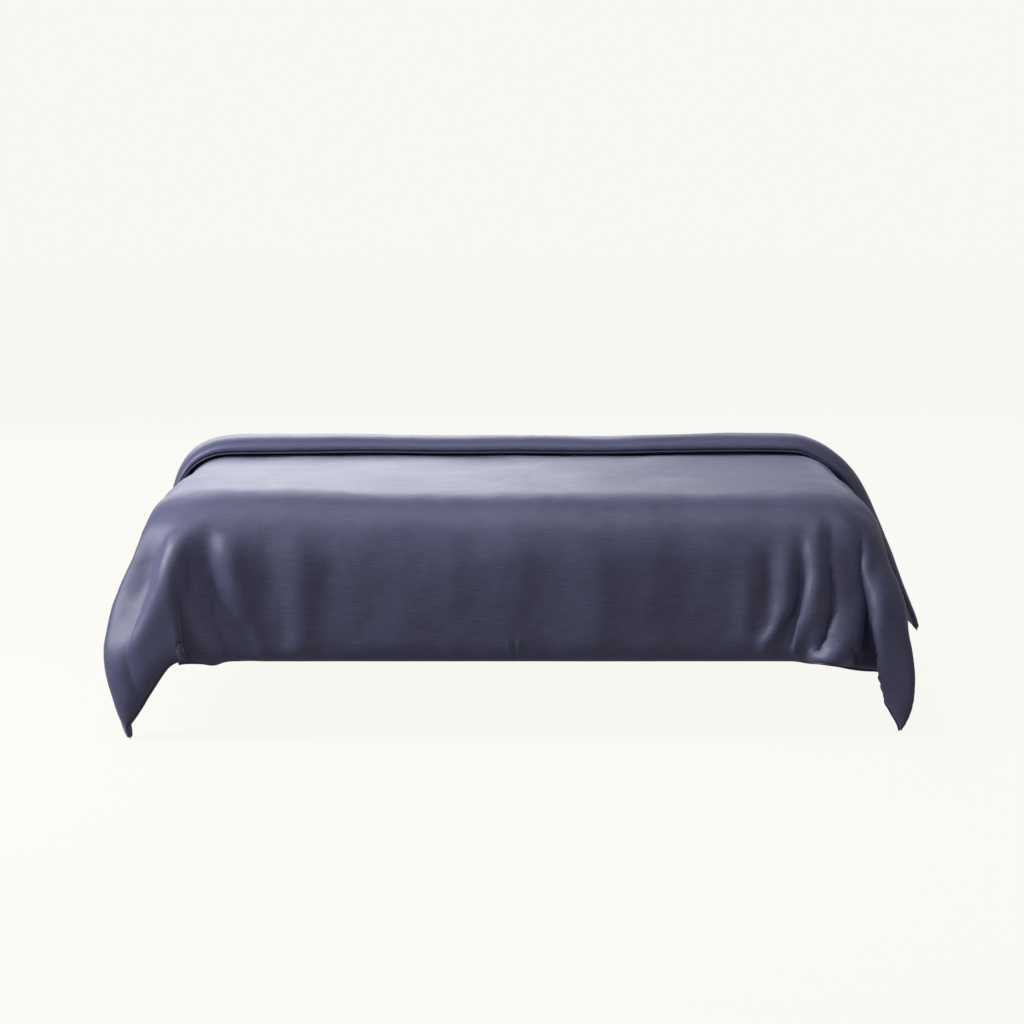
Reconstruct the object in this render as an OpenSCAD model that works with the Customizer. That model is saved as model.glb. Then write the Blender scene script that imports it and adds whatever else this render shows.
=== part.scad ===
// A filled duvet in its cover, lying over a mattress with its head end turned back.
// Origin: centre of the mattress top. X across the bed, +Y to the head, +Z up.

/* [Mattress it lies on] */
// Width of the mattress
mattress_w = 1530; // [1200:10:2000]
// Length of the mattress
mattress_l = 2030; // [1880:10:2200]
// Bend of the duvet's underside over the mattress edge
edge_r = 120; // [80:1:140]
// Distance from the mattress edge to where the bend begins
edge_room = 25; // [15:1:60]

/* [Drape] */
// Distance from the mattress foot to the fold of the turned-back head end
fold_from_foot = 1285; // [1100:10:1700]
// Length of the turned-back layer
turn_back = 420; // [250:5:500]
// Length of the side drops below the bend
side_drop = 172; // [140:2:240]
// Length of the foot drop below the bend
foot_drop = 215; // [160:5:260]
// Length of the drop at the corner tips, below the bend
tip_drop = 385; // [300:5:420]
// Gap between the two layers of the turned-back end
fold_gap = 8; // [4:1:30]

/* [Cover] */
// Thickness of the filled duvet in its cover
loft = 26; // [24:1:45]
// Thickness of the cover cloth
cloth_t = 0.5; // [0.3:0.1:0.8]
// Room between the cover and the insert
cover_ease = 3.6; // [3.2:0.1:5]
// Width of the French seams round the edge
seam_w = 5; // [3:0.5:8]
// Distance from the cover's edge seams to the insert, at the sides and head
insert_inset = 26; // [20:1:34]
// Distance from the foot seam to the insert
foot_inset = 32; // [24:1:40]

/* [Insert] */
// Thickness of the insert's shell cloth
shell_t = 0.4; // [0.2:0.1:0.6]
// Width of the binding sewn round the insert's edge
binding_w = 3; // [2:0.5:5]
// Chambers across the flat
columns = 4; // [3:1:6]
// Chambers along the flat
rows = 4; // [4:1:4]
// Thickness of the baffle walls
baffle_t = 0.6; // [0.4:0.1:1]
// Clearance between pieces that lie together
ease = 0.2; // [0.1:0.05:0.4]

/* [Zip] */
// Length of the zip's chain
zip_len = 1180; // [800:10:1300]
// Distance of the zip's centre line from the foot hem
zip_rise = 46; // [36:1:60]
// Width of each zip tape
tape_w = 13; // [10:0.5:16]
// Thickness of the zip tapes
tape_t = 0.4; // [0.3:0.1:0.6]
// Width of one coil of the chain
coil_w = 1.9; // [1.5:0.1:2.4]
// Thickness of the chain
coil_t = 1.6; // [1.2:0.1:2]
// Gap between the two coils, which the slider's post runs in
coil_gap = 1.4; // [1.2:0.1:2]
// Length of the slider
slider_l = 10; // [8:0.5:14]
// Thickness of the slider's plates
slider_plate = 1; // [0.8:0.1:1.4]
// Room between the slider and what it runs on
slider_play = 0.3; // [0.2:0.05:0.4]
// Radius of the puller's pin
pin_r = 0.6; // [0.5:0.05:1]
// Radial clearance of the puller on its pin
pin_play = 0.06; // [0.03:0.01:0.09]
// Length of the puller, from its pin
puller_l = 26; // [18:1:34]
// Width of the puller
puller_w = 6.5; // [5:0.5:9]

/* [Trim] */
// Width of the tie and loop tapes
tie_w = 2; // [1.5:0.5:3]
// Width of the care label
label_w = 38; // [25:1:50]
// Length of the care label
label_l = 60; // [40:1:80]
// Distance of the care label from the mattress foot
label_from_foot = 420; // [200:10:700]

/* [Hidden] */
$fn = 96;
flat_x = mattress_w / 2 - edge_room;
flat_y = mattress_l / 2 - edge_room;
fold_y = fold_from_foot - mattress_l / 2;
fold_h = loft + fold_gap / 2;
turn_y = fold_y - turn_back;
shell_lo = cloth_t + cover_ease;
shell_hi = loft - shell_lo;
fill_lo = shell_lo + shell_t + ease;
fill_hi = shell_hi - shell_t - ease;
insert_side = side_drop - seam_w - insert_inset;
insert_foot = foot_drop - seam_w - foot_inset;
insert_turn = turn_y + seam_w + insert_inset;
fill_side = insert_side - binding_w - ease;
fill_foot = insert_foot - binding_w - ease;
fill_turn = insert_turn + binding_w + ease;
column_w = 2 * flat_x / columns;
row_l = (fold_y + flat_y) / rows;
wall = baffle_t / 2 + ease;
// A size larger than the whole duvet, and an overlap that joins what is sewn or made in one
big = 2000;
knit = 0.01;

// Zip levels, measured from the cover's underside outwards through its thickness
zip_s = foot_drop - zip_rise;
tape_seat = 0.05;
tape_z = cloth_t + tape_seat;
coil_z = tape_z + tape_t / 2 - coil_t / 2;
coil_edge = coil_gap / 2 + coil_w;
slider_in = coil_edge + slider_play;
slider_w = 2 * (slider_in + slider_plate);
slot_w = slider_w + 2 * slider_play;
slider_lo = coil_z - slider_play;
slider_hi = coil_z + coil_t + slider_play;
stop_l = 2.5;
slider_x = zip_len / 2 - slider_l / 2 - slider_play;
post_l = 3;
post_t = coil_gap - 2 * slider_play;
lug_t = 0.9;
lug_gap = 3;
lug_l = 4;
lug_lip = 0.7;
pin_fit = 0.02;
puller_t = 1.2;
puller_hole_r = 1.5;
knuckle_r = pin_r + lug_lip;
knuckle_w = lug_gap - 2 * slider_play;
neck_l = 5;
pin_z = slider_lo - slider_plate - knuckle_r - slider_play;

// Ties: how far each ring reaches across the room between cover and insert, and where they sit
tie_side_y = (fold_y - flat_y) / 2;
tie_reach = 0.68;
tie_t = 0.8;
ring_w = 14;
tip_ring_w = 8;
tip_stem = tip_ring_w / 2 * tan(tip_slope(side_drop));
loop_h = 10;

cover_colour = [0.29, 0.29, 0.39];
seam_colour = [0.24, 0.24, 0.33];
shell_colour = [0.93, 0.92, 0.90];
fill_colour = [0.97, 0.97, 0.95];
metal_colour = [0.62, 0.62, 0.65];
label_colour = [0.95, 0.95, 0.93];

// ---- outlines, in height above the underside and place along the bed ----

// One layer from y0 up to the fold, round it and back to y1
module folded_outline(lo, hi, y0, y1) {
    translate([lo, y0]) square([hi - lo, fold_y - y0]);
    turned_outline(lo, hi, y1);
}

// The fold and the turned-back length of one layer
module turned_outline(lo, hi, y1) {
    translate([2 * fold_h - hi, y1]) square([hi - lo, fold_y - y1]);
    intersection() {
        translate([fold_h, fold_y]) difference() {
            circle(fold_h - lo);
            circle(fold_h - hi);
        }
        translate([0, fold_y]) square([2 * fold_h, fold_h]);
    }
}

// A straight length of one layer
module band(lo, hi, y0, y1) {
    translate([lo, y0]) square([hi - lo, y1 - y0]);
}

// A section across an edge: round the bend and down a drop of length len
module edge_outline(lo, hi, len) {
    translate([0, -edge_r]) {
        intersection() {
            difference() {
                circle(edge_r + hi);
                circle(edge_r + lo);
            }
            square(edge_r + hi);
        }
        translate([edge_r + lo, -len]) square([hi - lo, len]);
    }
}

// ---- sweeps ----

// Across the flat of the mattress, from x0 to x1
module across(x0, x1) {
    translate([x1, 0, 0]) rotate([0, -90, 0]) linear_extrude(x1 - x0) children();
}

// Round a straight edge at x = 0 and down a drop of length len
module over_edge(len) {
    translate([0, 0, -edge_r]) rotate([-90, 0, 0]) rotate(-90)
        rotate_extrude(angle = 90) translate([edge_r, 0]) children();
    drop_only(0, len) children();
}

// The plumb part of a drop alone, between two distances below the bend
module drop_only(from, to) {
    translate([edge_r, 0, -edge_r - to]) linear_extrude(to - from) children();
}

module at_right() {
    translate([flat_x, 0, 0]) children();
}

module at_left() {
    mirror([1, 0, 0]) at_right() children();
}

module at_foot() {
    translate([0, -flat_y, 0]) rotate(-90) children();
}

// The face of the foot drop, s below the bend: x across, y up the drop, z out through the duvet
module on_foot_drop(s) {
    translate([0, -flat_y, -edge_r]) rotate([90, 0, 0]) translate([0, -s, edge_r]) children();
}

// ---- corners ----

// How steeply a corner's hem runs down to its tip, from a drop of length len
function tip_slope(len) = atan((tip_drop - len) / (sin(45) * (edge_r + loft / 2)));

// Everything above a corner's hem, cut back by inset
module above_hem(len, inset) {
    translate([0, 0, inset - len - edge_r]) rotate([tip_slope(len), 0, 0])
        translate([-big / 2, -big / 2, 0]) cube([big, big, big]);
}

module corner(lo, hi, side_inset, foot_inset_here) {
    intersection() {
        rotate(-90) rotate_extrude(angle = 90) edge_outline(lo, hi, tip_drop + 2 * loft);
        above_hem(side_drop, side_inset);
        mirror([1, 1, 0]) above_hem(foot_drop, foot_inset_here);
    }
}

module at_corner() {
    translate([flat_x, -flat_y, 0]) children();
}

// ---- one whole layer of the duvet ----
module layer(lo, hi, side_inset, foot_inset_here, head_inset) {
    head_y = turn_y + head_inset;
    across(-flat_x, flat_x) folded_outline(lo, hi, -flat_y, head_y);
    for (side = [0, 1]) mirror([side, 0, 0]) {
        at_right() over_edge(side_drop - side_inset) folded_outline(lo, hi, -flat_y, head_y);
        at_corner() corner(lo, hi, side_inset, foot_inset_here);
    }
    at_foot() over_edge(foot_drop - foot_inset_here) band(lo, hi, -flat_x, flat_x);
}

// The strip that closes a layer pair round the foot, from inset to inset + w
module foot_strip(lo, hi, foot_inset_here, side_inset, w) {
    at_foot() drop_only(foot_drop - foot_inset_here - w, foot_drop - foot_inset_here)
        band(lo, hi, -flat_x, flat_x);
    for (side = [0, 1]) mirror([side, 0, 0]) at_corner() difference() {
        corner(lo, hi, side_inset, foot_inset_here);
        intersection() {
            above_hem(side_drop, side_inset + w);
            mirror([1, 1, 0]) above_hem(foot_drop, foot_inset_here + w);
        }
    }
}

module side_strip(lo, hi, side_inset, head_inset, w) {
    at_right() drop_only(side_drop - side_inset - w, side_drop - side_inset)
        folded_outline(lo, hi, -flat_y, turn_y + head_inset);
}

module head_strip(lo, hi, side_inset, head_inset, w) {
    y = turn_y + head_inset;
    top = 2 * fold_h;
    across(-flat_x, flat_x) band(top - hi, top - lo, y, y + w);
    for (side = [0, 1]) mirror([side, 0, 0])
        at_right() over_edge(side_drop - side_inset) band(top - hi, top - lo, y, y + w);
}

// ---- cover ----
module cover_face_panel() {
    color(cover_colour) layer(loft - cloth_t, loft, seam_w, seam_w, seam_w);
}

module facing_space() {
    on_foot_drop(foot_drop) translate([-flat_x, -knit, -knit])
        cube([2 * flat_x, zip_rise + knit, cloth_t + 2 * knit]);
}

module zip_slot() {
    on_foot_drop(zip_s) translate([-zip_len / 2 - slider_play, -slot_w / 2, -loft / 2])
        cube([zip_len + 2 * slider_play, slot_w, loft]);
}

module cover_back_panel() {
    color(cover_colour) difference() {
        layer(0, cloth_t, seam_w, seam_w, seam_w);
        facing_space();
        zip_slot();
    }
}

module zip_facing() {
    color(cover_colour) difference() {
        on_foot_drop(foot_drop) translate([-flat_x, seam_w, 0])
            cube([2 * flat_x, zip_rise - seam_w, cloth_t]);
        zip_slot();
    }
}

module side_seam() {
    color(seam_colour) side_strip(0, loft, 0, seam_w, seam_w);
}

module side_seam_left() {
    mirror([1, 0, 0]) side_seam();
}

module side_seam_right() {
    side_seam();
}

module head_seam() {
    color(seam_colour) head_strip(0, loft, 0, 0, seam_w);
}

module foot_seam() {
    color(seam_colour) foot_strip(0, loft, 0, 0, seam_w);
}

// ---- insert ----
module insert_layer(lo, hi) {
    layer(lo, hi, side_drop - insert_side + binding_w, foot_drop - insert_foot + binding_w,
          insert_turn - turn_y + binding_w);
}

module insert_face_shell() {
    color(shell_colour) insert_layer(shell_hi - shell_t, shell_hi);
}

module insert_back_shell() {
    color(shell_colour) insert_layer(shell_lo, shell_lo + shell_t);
}

module insert_edge_binding() {
    side_inset = side_drop - insert_side;
    foot_inset_here = foot_drop - insert_foot;
    head_inset = insert_turn - turn_y;
    color(shell_colour) {
        foot_strip(shell_lo, shell_hi, foot_inset_here, side_inset, binding_w);
        for (side = [0, 1]) mirror([side, 0, 0])
            side_strip(shell_lo, shell_hi, side_inset, head_inset, binding_w);
        head_strip(shell_lo, shell_hi, side_inset, head_inset, binding_w);
    }
}

// ---- fill ----
function column_x(i) = -flat_x + i * column_w;
function row_y(j) = -flat_y + j * row_l;

// What lies on the drop's side of the baffle wall where a bend begins
module beyond_wall() {
    translate([wall, -big, -big]) cube(2 * big);
}

// Each chamber on the flat between two baffle walls
module flat_columns() {
    for (i = [0 : columns - 1]) across(column_x(i) + wall, column_x(i + 1) - wall) children();
}

module fill_row(j) {
    color(fill_colour) flat_columns() band(fill_lo, fill_hi, row_y(j) + wall, row_y(j + 1) - wall);
}

module fill_row_1() {
    fill_row(0);
}

module fill_row_2() {
    fill_row(1);
}

module fill_row_3() {
    fill_row(2);
}

module fill_row_4() {
    fill_row(3);
}

module fill_foot_drop() {
    color(fill_colour) at_foot() for (i = [0 : columns - 1]) intersection() {
        over_edge(fill_foot) band(fill_lo, fill_hi, column_x(i) + wall, column_x(i + 1) - wall);
        beyond_wall();
    }
}

module fill_corner() {
    color(fill_colour) at_corner() intersection() {
        corner(fill_lo, fill_hi, side_drop - fill_side, foot_drop - fill_foot);
        translate([wall, -wall - big, -big / 2]) cube([big, big, big]);
    }
}

module fill_corner_left() {
    mirror([1, 0, 0]) fill_corner();
}

module fill_corner_right() {
    fill_corner();
}

module fill_side() {
    color(fill_colour) at_right() for (j = [0 : rows - 1])
        intersection() {
            over_edge(fill_side) band(fill_lo, fill_hi, row_y(j) + wall, row_y(j + 1) - wall);
            beyond_wall();
        }
}

module fill_side_left() {
    mirror([1, 0, 0]) fill_side();
}

module fill_side_right() {
    fill_side();
}

module fill_fold_section() {
    intersection() {
        turned_outline(fill_lo, fill_hi, fill_turn);
        union() {
            translate([0, fold_y + wall]) square([2 * fold_h, fold_h]);
            translate([fold_h, -big]) square([fold_h, 2 * big]);
        }
    }
}

module fill_fold() {
    color(fill_colour) flat_columns() fill_fold_section();
}

module fill_fold_side() {
    color(fill_colour) at_right() intersection() {
        over_edge(fill_side) fill_fold_section();
        beyond_wall();
    }
}

module fill_fold_left() {
    mirror([1, 0, 0]) fill_fold_side();
}

module fill_fold_right() {
    fill_fold_side();
}

// ---- baffles ----
module baffles_long() {
    color(shell_colour) for (i = [0 : columns]) {
        x = column_x(i);
        across(x - baffle_t / 2, x + baffle_t / 2) folded_outline(fill_lo, fill_hi, -flat_y, fill_turn);
        at_foot() over_edge(fill_foot) band(fill_lo, fill_hi, x - baffle_t / 2, x + baffle_t / 2);
    }
}

module baffles_cross() {
    color(shell_colour) for (j = [0 : rows]) {
        y = row_y(j);
        flat_columns() band(fill_lo, fill_hi, y - baffle_t / 2, y + baffle_t / 2);
        for (side = [0, 1]) mirror([side, 0, 0]) at_right() intersection() {
            over_edge(fill_side) band(fill_lo, fill_hi, y - baffle_t / 2, y + baffle_t / 2);
            beyond_wall();
        }
    }
}

// ---- ties and loops ----

module frame_ring(w, l, t) {
    translate([-w / 2, 0, -t / 2]) difference() {
        cube([w, l, t]);
        translate([tie_w, tie_w, -knit]) cube([w - 2 * tie_w, l - 2 * tie_w, t + 2 * knit]);
    }
}

module on_side_drop(y) {
    translate([flat_x, y, -edge_r]) rotate(90) rotate([90, 0, 0])
        translate([0, seam_w - side_drop, edge_r]) children();
}

module on_corner_tip() {
    translate([flat_x, -flat_y, -edge_r]) rotate(45) rotate([90, 0, 0])
        translate([0, seam_w - tip_drop, edge_r]) children();
}

module head_edge(x) {
    translate([x, turn_y + seam_w, 2 * fold_h - loft]) children();
}

// The eight places round the edge. Children 0, 1 and 2 are for the foot, the straight edges and
// the corner tips; they stand with y up from the seam and z out through the duvet.
module each_tie() {
    middle = loft / 2;
    on_foot_drop(foot_drop - seam_w) translate([0, 0, middle]) children(0);
    for (side = [0, 1]) mirror([side, 0, 0]) {
        on_side_drop(tie_side_y) translate([0, 0, middle]) children(1);
        on_corner_tip() translate([0, 0, middle]) children(2);
        head_edge(flat_x - column_w / 2) translate([0, 0, middle]) children(1);
    }
    head_edge(0) translate([0, 0, middle]) children(1);
}

// A tape ring on a stem, lying in the plane of the duvet
module tie_ring(w, room, stem) {
    translate([-tie_w / 2, -knit, -tie_t / 2]) cube([tie_w, stem + tie_w, tie_t]);
    translate([0, stem, 0]) frame_ring(w, (room - stem) * tie_reach, tie_t);
}

// The insert's ring, standing across the tie's ring and through it
module loop_ring(room, stem) {
    translate([0, room, 0]) rotate([180, 0, 0]) rotate([0, 90, 0])
        frame_ring(loop_h, (room - stem) * tie_reach, tie_w);
}

module cover_ties() {
    color(cover_colour) each_tie() {
        tie_ring(ring_w, foot_inset, 0);
        tie_ring(ring_w, insert_inset, 0);
        tie_ring(tip_ring_w, insert_inset, tip_stem);
    }
}

module insert_loops() {
    color(shell_colour) each_tie() {
        loop_ring(foot_inset, 0);
        loop_ring(insert_inset, 0);
        loop_ring(insert_inset, tip_stem);
    }
}

module care_label() {
    color(label_colour) mirror([1, 0, 0])
        translate([flat_x, label_from_foot - mattress_l / 2, -edge_r]) rotate(90)
            rotate([90, 0, 0])
                translate([-label_w / 2, seam_w - side_drop, edge_r - cloth_t - ease])
                    cube([label_w, label_l, cloth_t]);
}

// ---- zip ----
module zip_tape() {
    translate([-zip_len / 2, coil_edge, tape_z]) cube([zip_len, tape_w, tape_t]);
}

module mirrored_on_zip() {
    on_foot_drop(zip_s) mirror([0, 1, 0]) children();
}

module zip_tape_upper() {
    color(seam_colour) on_foot_drop(zip_s) zip_tape();
}

module zip_tape_lower() {
    color(seam_colour) mirrored_on_zip() zip_tape();
}

module coil_bar() {
    translate([-zip_len / 2 + stop_l, coil_gap / 2, coil_z]) cube([zip_len - 2 * stop_l, coil_w, coil_t]);
}

module zip_chain_upper() {
    color(seam_colour) on_foot_drop(zip_s) coil_bar();
}

module zip_chain_lower() {
    color(seam_colour) mirrored_on_zip() coil_bar();
}

module zip_end_stops() {
    color(metal_colour) on_foot_drop(zip_s) for (end = [0, 1]) mirror([end, 0, 0])
        translate([zip_len / 2 - stop_l + ease, -coil_edge + ease, coil_z])
            cube([stop_l - ease, 2 * (coil_edge - ease), coil_t]);
}

module slider_place() {
    on_foot_drop(zip_s) translate([slider_x - stop_l, 0, 0]) children();
}

module slider_plate_at(z) {
    translate([-slider_l / 2, -slider_w / 2, z]) cube([slider_l, slider_w, slider_plate]);
}

// A side wall of the slider, which leaves a slot for the tape
module slider_wall(z0, z1) {
    for (side = [0, 1]) mirror([0, side, 0])
        translate([-slider_l / 2, slider_in, z0]) cube([slider_l, slider_plate, z1 - z0]);
}

module zip_slider() {
    color(metal_colour) slider_place() {
        difference() {
            union() {
                slider_plate_at(slider_lo - slider_plate);
                slider_plate_at(slider_hi);
                slider_wall(slider_lo - knit, tape_z - slider_play);
                slider_wall(tape_z + tape_t + slider_play, slider_hi + knit);
                translate([slider_l / 2 - post_l, -post_t / 2, slider_lo - knit])
                    cube([post_l, post_t, slider_hi - slider_lo + 2 * knit]);
                for (side = [0, 1]) mirror([0, side, 0])
                    translate([-lug_l / 2, lug_gap / 2, pin_z - knuckle_r])
                        cube([lug_l, lug_t, slider_lo - slider_plate - pin_z + knuckle_r + knit]);
            }
            translate([0, 0, pin_z]) rotate([90, 0, 0])
                cylinder(h = slider_w, r = pin_r + pin_fit, center = true);
        }
    }
}

module puller_pin() {
    color(metal_colour) slider_place() translate([0, 0, pin_z]) rotate([90, 0, 0])
        cylinder(h = lug_gap + 2 * lug_t, r = pin_r, center = true);
}

module zip_puller() {
    color(metal_colour) slider_place() translate([0, 0, pin_z]) difference() {
        union() {
            rotate([90, 0, 0]) cylinder(h = knuckle_w, r = knuckle_r, center = true);
            translate([-neck_l, -knuckle_w / 2, -puller_t / 2]) cube([neck_l, knuckle_w, puller_t]);
            translate([-puller_l + puller_w / 2, -puller_w / 2, -puller_t / 2])
                cube([puller_l - puller_w / 2 - neck_l + knit, puller_w, puller_t]);
            translate([-puller_l + puller_w / 2, 0, 0]) cylinder(h = puller_t, d = puller_w, center = true);
        }
        rotate([90, 0, 0]) cylinder(h = puller_w, r = pin_r + pin_play, center = true);
        translate([-puller_l + puller_w / 2, 0, 0])
            cylinder(h = 2 * puller_t, r = puller_hole_r, center = true);
    }
}

cover_face_panel();
cover_back_panel();
zip_facing();
side_seam_left();
side_seam_right();
head_seam();
foot_seam();
insert_face_shell();
insert_back_shell();
insert_edge_binding();
fill_row_1();
fill_row_2();
fill_row_3();
fill_row_4();
fill_foot_drop();
fill_corner_left();
fill_corner_right();
fill_side_left();
fill_side_right();
fill_fold();
fill_fold_left();
fill_fold_right();
baffles_long();
baffles_cross();
cover_ties();
insert_loops();
care_label();
zip_tape_upper();
zip_tape_lower();
zip_chain_upper();
zip_chain_lower();
zip_end_stops();
zip_slider();
puller_pin();
zip_puller();
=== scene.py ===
import math
import bpy
import numpy as np
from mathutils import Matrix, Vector, noise


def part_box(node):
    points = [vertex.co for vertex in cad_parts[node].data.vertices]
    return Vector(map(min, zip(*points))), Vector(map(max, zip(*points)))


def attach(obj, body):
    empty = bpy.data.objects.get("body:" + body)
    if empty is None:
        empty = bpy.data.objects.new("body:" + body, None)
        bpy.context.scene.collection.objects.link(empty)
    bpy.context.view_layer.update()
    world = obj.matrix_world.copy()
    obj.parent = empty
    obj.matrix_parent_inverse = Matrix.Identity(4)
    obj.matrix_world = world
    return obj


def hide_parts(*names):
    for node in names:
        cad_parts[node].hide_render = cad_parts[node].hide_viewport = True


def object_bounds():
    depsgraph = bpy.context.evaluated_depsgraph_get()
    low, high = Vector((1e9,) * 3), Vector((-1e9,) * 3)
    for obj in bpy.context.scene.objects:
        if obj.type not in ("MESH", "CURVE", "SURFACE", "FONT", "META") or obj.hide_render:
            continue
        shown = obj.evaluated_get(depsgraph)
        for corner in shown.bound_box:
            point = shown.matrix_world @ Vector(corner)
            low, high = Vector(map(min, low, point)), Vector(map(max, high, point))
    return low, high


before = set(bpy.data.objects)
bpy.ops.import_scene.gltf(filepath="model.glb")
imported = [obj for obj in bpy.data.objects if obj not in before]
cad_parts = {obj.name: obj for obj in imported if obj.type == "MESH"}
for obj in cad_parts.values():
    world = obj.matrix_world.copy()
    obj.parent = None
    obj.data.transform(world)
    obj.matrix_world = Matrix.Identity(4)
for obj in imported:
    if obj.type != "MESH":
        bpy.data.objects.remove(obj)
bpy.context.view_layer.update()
scene = bpy.context.scene

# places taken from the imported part
facingLow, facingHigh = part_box("zip_facing")
chainLow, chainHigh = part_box("zip_chain_upper")
footInsideY = facingHigh.y
zipZ = facingHigh.z
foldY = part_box("fill_row_4")[1].y
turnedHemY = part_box("head_seam")[0].y
zipHalf = chainHigh.x + 0.0028     # half the opening, with room past the coils

duvet = {
    "halfWidth": 1.125,         # flat, from the middle to a side hem
    "flatToFootBend": 0.99,     # from the mattress middle to where the foot bend begins
    "footBend": 0.12,           # radius of the underside over the foot edge
    "sideEdge": 0.765,          # half the mattress width
    "sideBend": 0.065,
    "sideFlare": math.radians(18),
    "loft": 0.022,
    "foldRadius": 0.0105,       # of the middle of the thickness, where the head end turns back
    "pressed": 0.16,            # share of the loft lost where two layers lie on each other
    "edgeRound": 0.045,         # how far in from a hem the loft is reached
    "headLoft": 0.010,          # how much fuller the turned-back layer is at its hem
    "headLift": 0.014,          # and how far it stands off the layer below
    "tipRound": 0.034,          # radius of the cloth's corners
    "seamWidth": 0.005,
    "seamThick": 0.0026,
    "clothThick": 0.0005,
    "slotHalf": 0.0042,         # half the opening that shows the zip
    "chamberEdge": 0.74,        # from the middle to the side chambers, and half the zip facing
    "gridStep": 0.009,
}

halfLoft = duvet["loft"] / 2
hemZ = facingLow.z - duvet["seamWidth"]
zipS = zipZ - hemZ
footDrop = -duvet["footBend"] - hemZ
footArc = (duvet["footBend"] + halfLoft) * math.pi / 2
footToFlat = footDrop + footArc
lowerLength = footToFlat + duvet["flatToFootBend"] + foldY
foldArc = math.pi * duvet["foldRadius"]
flapLength = foldY - turnedHemY
clothLength = lowerLength + foldArc + flapLength
clothWidth = 2 * duvet["halfWidth"]


def fade(x, start, end):
    # 1 up to start, 0 from end on
    t = np.clip((x - start) / (end - start), 0, 1)
    return 1 - t * t * (3 - 2 * t)


def unit(v):
    return v / np.maximum(np.linalg.norm(v, axis=-1, keepdims=True), 1e-12)


# the drape: one layer of cloth dropped over the shape of the bed's foot end

drape = {
    "spacing": 0.03,
    "frames": 65,
    "quality": 5,
    "mass": 0.3,
    "air": 2.0,
    "stretch": 40.0,
    "shear": 10.0,
    "bending": 3.0,
    "damping": 5.0,
    "skin": 0.012,              # gap that the cloth keeps from the form
    "planCorner": 0.11,
}


def formReach(z, bend, slope):
    # how far the form stands out from its widest top edge at height z
    bottomOfBend = -bend * (1 - math.cos(math.pi / 2 - slope))
    if z >= bottomOfBend:
        return -bend + math.sqrt(max(bend ** 2 - (bend + z) ** 2, 0))
    reached = -bend + bend * math.sin(math.pi / 2 - slope)
    return reached + (bottomOfBend - z) * math.tan(slope)


def formRing(halfX, halfY, corner, z, count=10):
    points = []
    for signX, signY, turn in ((1, 1, 0), (-1, 1, 90), (-1, -1, 180), (1, -1, 270)):
        for k in range(count + 1):
            a = math.radians(turn + 90 * k / count)
            x = signX * (halfX - corner) + corner * math.cos(a)
            y = signY * (halfY - corner) + corner * math.sin(a)
            points.append((x, y, z))
    return points


def makeForm():
    skin = 2 * drape["skin"]
    footWall = -footInsideY + halfLoft - skin
    footBend = footWall - duvet["flatToFootBend"]
    top = halfLoft - skin
    levels = [-footBend * (1 - math.cos(math.radians(a))) for a in range(0, 91, 10)]
    levels += [-0.15, -0.20, -0.25, -0.30]
    rings = []
    for z in levels:
        halfX = duvet["sideEdge"] + formReach(z, duvet["sideBend"], duvet["sideFlare"])
        halfY = footWall + formReach(z, footBend, 0)
        rings.append(formRing(halfX, halfY, drape["planCorner"], z + top))
    rings.append(formRing(halfX - 0.02, halfY - 0.02, drape["planCorner"], -0.35 + top))
    rings.append(formRing(halfX - 0.08, halfY - 0.08, drape["planCorner"], -0.55 + top))
    count = len(rings[0])
    faces = []
    for k in range(len(rings) - 1):
        for i in range(count):
            j = (i + 1) % count
            faces.append(((k + 1) * count + i, (k + 1) * count + j, k * count + j, k * count + i))
    faces.append(tuple(range(count)))
    mesh = bpy.data.meshes.new("form")
    mesh.from_pydata([p for ring in rings for p in ring], [], faces)
    form = bpy.data.objects.new("form", mesh)
    scene.collection.objects.link(form)
    form.modifiers.new("hit", "COLLISION")
    form.collision.thickness_outer = drape["skin"]
    form.collision.cloth_friction = 30
    return form


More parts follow.
